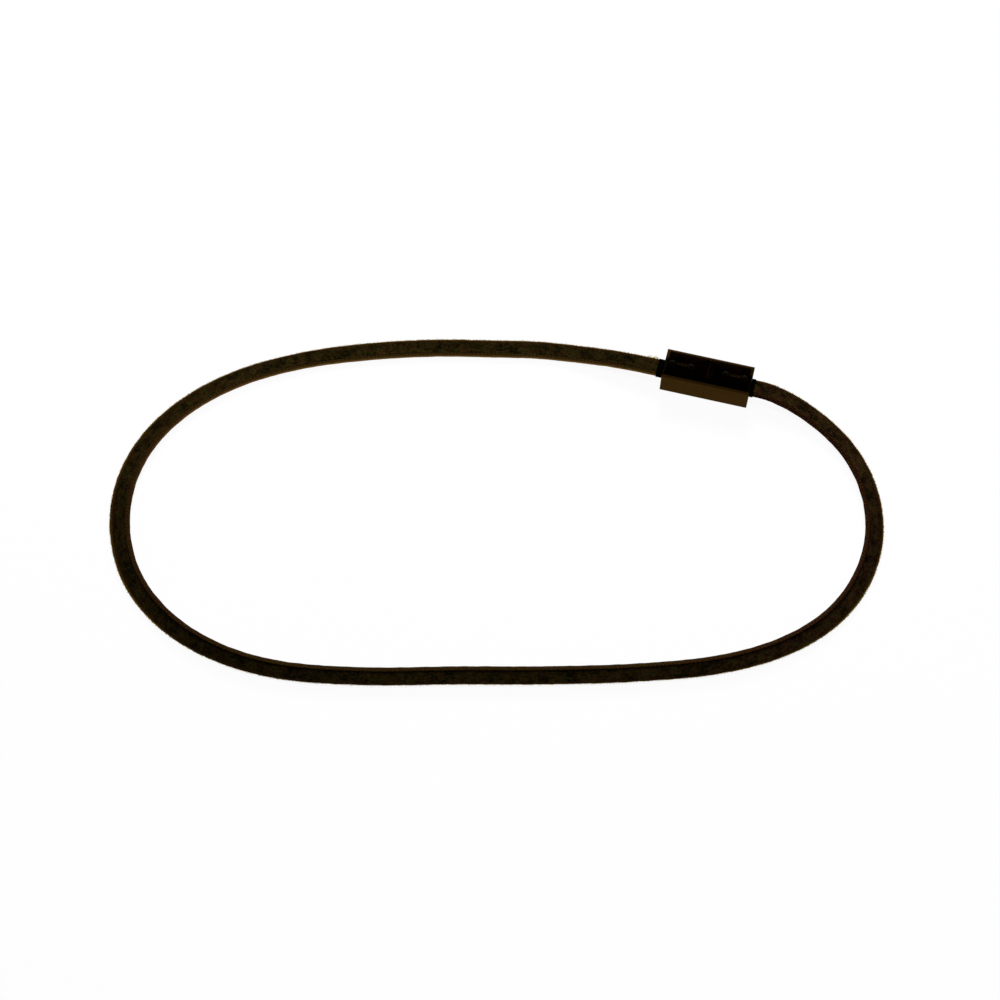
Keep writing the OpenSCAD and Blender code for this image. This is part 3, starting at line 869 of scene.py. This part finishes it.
class STRAP_OT_lids(bpy.types.Operator):
    """Casts each half's lid: a plate with three rounded edges, two rivet bores and a sunk oblong mark"""
    bl_idname = "wrist_strap.lids"
    bl_label = "Clasp lids"

    def execute(self, context):
        clasp = context.scene.strap_clasp
        finish = grained(
            "plated_metal_polished_black_bronze", clasp.lid_colour, darker=0.8, grain=0.1, depth=0.001,
            roughness=(0.1, 0.2), plated=True)
        edge_w, edge_h = clasp.edge_w / MM, clasp.edge_h / MM
        x0, x1 = SEAM_X, clasp.length / MM / 2 - edge_w
        half_w = clasp.width / MM / 2 - edge_w
        top, low = clasp.height / MM, (clasp.height - clasp.lid) / MM
        count = 14
        # The top in three parts: a bore, the mark and a bore
        cuts = (x0, 2.4625, 3.7675, x1)
        seat, bottom = top - HEAD_DEPTH, top - 0.14
        bore = eased([(0.41, top), (0.38, top), (0.38, seat), (0, seat)], (0.02, 0.02), hold=0.005)
        mark_r = 0.225
        mark = eased([(0.26, top), (mark_r, top), (0.2, bottom), (0, bottom)], (0.02, 0.05), hold=0.01)
        grids = []
        centres = (RIVETS_X[0], 3.115, RIVETS_X[1])
        for a, b, centre, straight, steps in zip(cuts, cuts[1:], centres, (0, 0.375, 0), (bore, mark, bore)):
            core, way = stadium(straight, mark_r, count)
            grids.append((sunk(sides(a, b, half_w, count), centre, core, way, steps), True, False))
        # The rounding: along the front, round the end and back along the other side, mitred at corners
        share = np.arange(count) / count
        run = np.concatenate([a + share * (b - a) for a, b in zip(cuts, cuts[1:])])
        rise = (2 * share - 1) * half_w
        xs = np.concatenate([run, np.full(count, x1), [x1], run[::-1]])
        ys = np.concatenate([np.full(len(run), -half_w), rise, [half_w], np.full(len(run), half_w)])
        out_x = np.concatenate([0 * run, 0 * rise + 1, [1], 0 * run])
        out_y = np.concatenate([0 * run - 1, [-1], 0 * rise[1:], [1], 0 * run + 1])
        bow = np.linspace(pi / 2, 0, 9)
        profile = np.column_stack([edge_w * np.cos(bow), top - edge_h * (1 - np.sin(bow))])
        profile = np.vstack([profile, [(edge_w, low), (0, low)]])
        rim = np.stack([np.column_stack([xs + r * out_x, ys + r * out_y, 0 * xs + z]) for r, z in profile])
        grids.append((rim, False, False))
        # The face at the seam, from the front's rounding to the back's, and the underside
        across = np.append(rise, half_w) / half_w
        flat = 0 * across
        face = np.stack([np.column_stack([flat + x0, across * (half_w + r), flat + z]) for r, z in profile])
        grids.append((face, False, False))
        below = np.append(run, x1)[:, None]
        under = np.stack(np.broadcast_arrays(below, across[None] * half_w, low), axis=-1)
        grids.append((under, False, False))
        # The bottom of the mark, which is the second of the grids, is etched
        spots = np.concatenate([at.reshape(-1, 3) for at, *_ in grids])
        grid = np.repeat(np.arange(len(grids)), [at[..., 0].size for at, *_ in grids])
        etched = ((grid == 1) & (spots[:, 2] < top - 0.1)).astype(float)[:, None]
        axis = clasp_axis(clasp)
        for half, name, _, body in HALVES:
            turned = [(placed(clasp, half, at), around, ring) for at, around, ring in grids]
            # The end's rounding is darkened almost to black over the strap: a painted shade at its mouth
            y = half * spots[:, 1:2]
            rubbed = smooth((spots[:, :1] - x1) / 0.1) * smooth((0.6 - y) / 0.3) * smooth((y + 1.75) / 0.3)
            piece = new_piece(name + "_lid_plated", turned, finish, "lid", etched=etched, rubbed=rubbed)
            soften(piece, (-half * axis[0], -half * axis[1], 0), 0.26)
            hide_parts(name + "_lid")
            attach(crisp(piece), body)
        return {"FINISHED"}


def revolved(centre, profile, count=28):
    """A profile of (radius, height) turned about an upright axis at x = centre."""
    turn = np.linspace(0, 2 * pi, count, endpoint=False)
    radius, z = np.array(profile).T
    x = centre + radius[:, None] * np.cos(turn)
    y = radius[:, None] * np.sin(turn)
    return np.stack(np.broadcast_arrays(x, y, z[:, None]), axis=-1)


class STRAP_OT_rivets(bpy.types.Operator):
    """Turns the two domed rivets of each half"""
    bl_idname = "wrist_strap.rivets"
    bl_label = "Rivets"

    def execute(self, context):
        clasp = context.scene.strap_clasp
        finish = grained(
            "black_nickel_polished", clasp.rivet_colour, darker=0.7, grain=0.05, depth=0.002,
            roughness=(0.3, 0.45), plated=True)
        top = clasp.height / MM
        foot, seat = 0.5, top - HEAD_DEPTH
        shank_r, head_r, dome = 0.22, 0.35, 0.1
        bow = np.linspace(0, pi / 2, 8)
        shank = [(0, foot), (0.19, foot), (shank_r, 0.53), (shank_r, seat), (0.33, seat), (head_r, top - 0.2)]
        head = np.column_stack([head_r * np.cos(bow), top - dome + dome * np.sin(bow)])
        profile = np.vstack([shank, head])
        for half, name, _, body in HALVES:
            grids = [(placed(clasp, half, revolved(x, profile)), True, False) for x in RIVETS_X]
            piece = new_piece(name + "_rivet_pair", grids, finish, "rivet")
            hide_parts(name + "_rivets")
            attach(crisp(piece), body)
        return {"FINISHED"}


class STRAP_OT_magnets(bpy.types.Operator):
    """Presses the two plated magnets: the socket's at the bottom of its pocket, the plug's as a tongue"""
    bl_idname = "wrist_strap.magnets"
    bl_label = "Magnets"

    def execute(self, context):
        clasp = context.scene.strap_clasp
        finish = grained(
            "nickel_plated_magnet", clasp.magnet_colour, darker=0.8, grain=0.08, depth=0.003,
            roughness=(0.18, 0.34), Metallic=1.0)
        # Half width, bottom, top, and the rounding of the corners and of the edges
        block = (1, 0.7, 2.2, 0.12, 0.06)
        back_x = 1.28
        for (half, name, _, body), front_x in zip(HALVES, (0.78, -0.7)):
            rings = edge_rings(front_x, -1, *block)[::-1] + edge_rings(back_x, 1, *block)
            at = capped(placed(clasp, half, np.stack(rings)))
            piece = new_piece(name + "_magnet_plated", [(at, True, False)], finish, "magnet")
            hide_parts(name + "_magnet")
            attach(crisp(piece), body)
        return {"FINISHED"}


class STRAP_OT_sleeves(bpy.types.Operator):
    """Slips a rubber sleeve over each end of the strap: a rounded tube with soft lips"""
    bl_idname = "wrist_strap.sleeves"
    bl_label = "Sleeves"

    def execute(self, context):
        strap, clasp = context.scene.strap_sizes, context.scene.strap_clasp
        finish = grained(
            "rubber_matte_black", strap.sleeve, darker=0.6, grain=0.06, depth=0.01, roughness=(0.8, 1.0),
            Specular_IOR_Level=0.01)
        half_w, low, high = strap_room(strap, clasp)
        hole = (half_w + 0.01, low - 0.03, high + 0.03)
        wall, lip = 0.07, 0.03
        outer = (*widened(hole, wall), 0.17)
        for (half, _, name, body), end in zip(HALVES, (SLEEVE_X, SLEEVE_X - 0.3)):
            rings = [round_ring(SLEEVE_START_X, *hole, 0.1), round_ring(end - lip, *hole, 0.1)]
            rings += [round_ring(end, *widened(hole, lip), 0.13)]
            rings += edge_rings(end, 1, *outer, 0.06)[::-1]
            rings += [round_ring(SLEEVE_START_X, *outer)]
            tube = placed(clasp, half, np.stack(rings))
            piece = new_piece(f"sleeve_{name}_rubber", [(tube, True, True)], finish, "sleeve")
            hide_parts("sleeve_" + name)
            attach(piece, body)
        return {"FINISHED"}


class STRAP_OT_clamps(bpy.types.Operator):
    """Gives the two clamp bars, which stay as packed, their brushed steel"""
    bl_idname = "wrist_strap.clamps"
    bl_label = "Clamp bars"

    def execute(self, context):
        finish = brushed_steel(context.scene.strap_clasp)
        for _, name, _, _ in HALVES:
            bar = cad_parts[name + "_clamp"]
            bar.data.materials.clear()
            bar.data.materials.append(finish)
        return {"FINISHED"}


class STRAP_OT_stage(bpy.types.Operator):
    """Sets the camera, the white floor and the soft lamps"""
    bl_idname = "wrist_strap.stage"
    bl_label = "Stage"

    def execute(self, context):
        scene, stage = context.scene, context.scene.strap_stage
        scene.view_settings.view_transform = "Standard"
        camera = linked("camera", bpy.data.cameras.new("camera"))
        camera.data.lens = 72
        camera.data.sensor_width = 36
        camera.data.clip_start = 0.01
        camera.location = (0.00035, -0.10454, 0.19849)
        camera.rotation_euler = (radians(28), 0, 0)
        scene.camera = camera

        # The floor is a disc just under the strap
        floor_z = -0.06 * MM
        turn = np.linspace(0, 2 * pi, 96, endpoint=False)
        radius = np.array([0, 0.1, 0.3, 1, 3])[:, None]
        disc = np.stack(np.broadcast_arrays(radius * np.cos(turn), radius * np.sin(turn), floor_z), axis=-1)
        mesh = bpy.data.meshes.new("floor")
        mesh.from_pydata(
            disc.reshape(-1, 3).tolist(), [], grid_faces(len(radius), len(turn), around=True).tolist())
        welded(mesh, closed=False)
        mesh.materials.append(white_paper(stage))
        linked("floor", mesh)

        # Soft lamps, aimed at the middle of the loop: one behind and above it, and a wider one on top
        for name, place, size, watts in (
                ("key_lamp", (0.03, 0.3, 0.26), 0.12, stage.key), ("top_lamp", (0, 0, 0.5), 0.16, stage.top)):
            lamp = linked(name, bpy.data.lights.new(name, "AREA"))
            lamp.data.shape = "DISK"
            lamp.data.size = size
            lamp.data.energy = watts
            lamp.location = place
            lamp.visible_glossy = False
            way = 0 - np.array(place)
            flat = np.hypot(way[0], way[1])
            lamp.rotation_euler = (np.arctan2(flat, -way[2]), 0, np.arctan2(way[1], way[0]) - pi / 2)

        # Seen straight the room is white. Mirrored in the clasp it is a light tent: bright behind, dimmer
        # beside it, with a dark ceiling and a dark front, where the camera stands. It lights dull things
        # only a little.
        world = bpy.data.worlds.new("studio")
        world.use_nodes = True
        tree = world.node_tree
        tree.nodes.clear()
        way = add_node(tree, "ShaderNodeTexCoord")["Generated"]
        way = add_node(tree, "ShaderNodeSeparateXYZ", {0: way})
        wall = add_node(tree, "ShaderNodeMapRange", {
            "Value": way["Z"], "From Min": 0.68, "From Max": 0.8, "To Min": 1.0, "To Max": 0.0})[0]
        behind = add_node(tree, "ShaderNodeMapRange", {
            "Value": way["Y"], "From Min": 0.1, "From Max": 1.0})[0]
        lit = add_node(tree, "ShaderNodeMath", {0: wall, 1: behind}, operation="MULTIPLY")[0]
        tent = add_node(tree, "ShaderNodeMapRange", {"Value": lit, "To Min": 0.02, "To Max": 3.0})[0]
        ray = add_node(tree, "ShaderNodeLightPath")
        mirrored = add_node(tree, "ShaderNodeMix", {
            "Factor": ray["Is Glossy Ray"], "A": 0.1, "B": tent}, data_type="FLOAT")["Result"]
        seen = add_node(tree, "ShaderNodeMath", {
            0: ray["Is Camera Ray"], 1: ray["Is Transmission Ray"]}, operation="MAXIMUM")[0]
        share = add_node(tree, "ShaderNodeMix", {
            "Factor": seen, "A": mirrored, "B": 1.0}, data_type="FLOAT")["Result"]
        light = add_node(tree, "ShaderNodeBackground", {"Color": (1, 1, 1, 1), "Strength": share})[0]
        add_node(tree, "ShaderNodeOutputWorld", {"Surface": light})
        scene.world = world
        return {"FINISHED"}


class STRAP_PT_panel(bpy.types.Panel):
    """Sizes, colours and steps of the wrist strap"""
    bl_idname = "STRAP_PT_panel"
    bl_label = "Wrist strap"
    bl_space_type = "VIEW_3D"
    bl_region_type = "UI"
    bl_category = "Wrist strap"

    def draw(self, context):
        for group in (context.scene.strap_sizes, context.scene.strap_clasp, context.scene.strap_stage):
            box = self.layout.box()
            for name in group.__annotations__:
                box.prop(group, name)
        for step in STEPS:
            self.layout.operator(step.bl_idname)


SETTINGS = {"strap_sizes": StrapSettings, "strap_clasp": ClaspSettings, "strap_stage": StageSettings}
STEPS = (STRAP_OT_stage, STRAP_OT_band, STRAP_OT_fibres, STRAP_OT_sleeves, STRAP_OT_trays, STRAP_OT_lids,
         STRAP_OT_rivets, STRAP_OT_magnets, STRAP_OT_clamps)


def register():
    for kind in (*SETTINGS.values(), *STEPS, STRAP_PT_panel):
        bpy.utils.register_class(kind)
    for name, kind in SETTINGS.items():
        setattr(bpy.types.Scene, name, bpy.props.PointerProperty(type=kind))


def unregister():
    for name in SETTINGS:
        delattr(bpy.types.Scene, name)
    for kind in (STRAP_PT_panel, *STEPS, *SETTINGS.values()):
        bpy.utils.unregister_class(kind)


def main():
    register()
    for step in STEPS:
        group, name = step.bl_idname.split(".")
        getattr(getattr(bpy.ops, group), name)()
    bpy.context.view_layer.update()


if __name__ == "__main__":
    main()
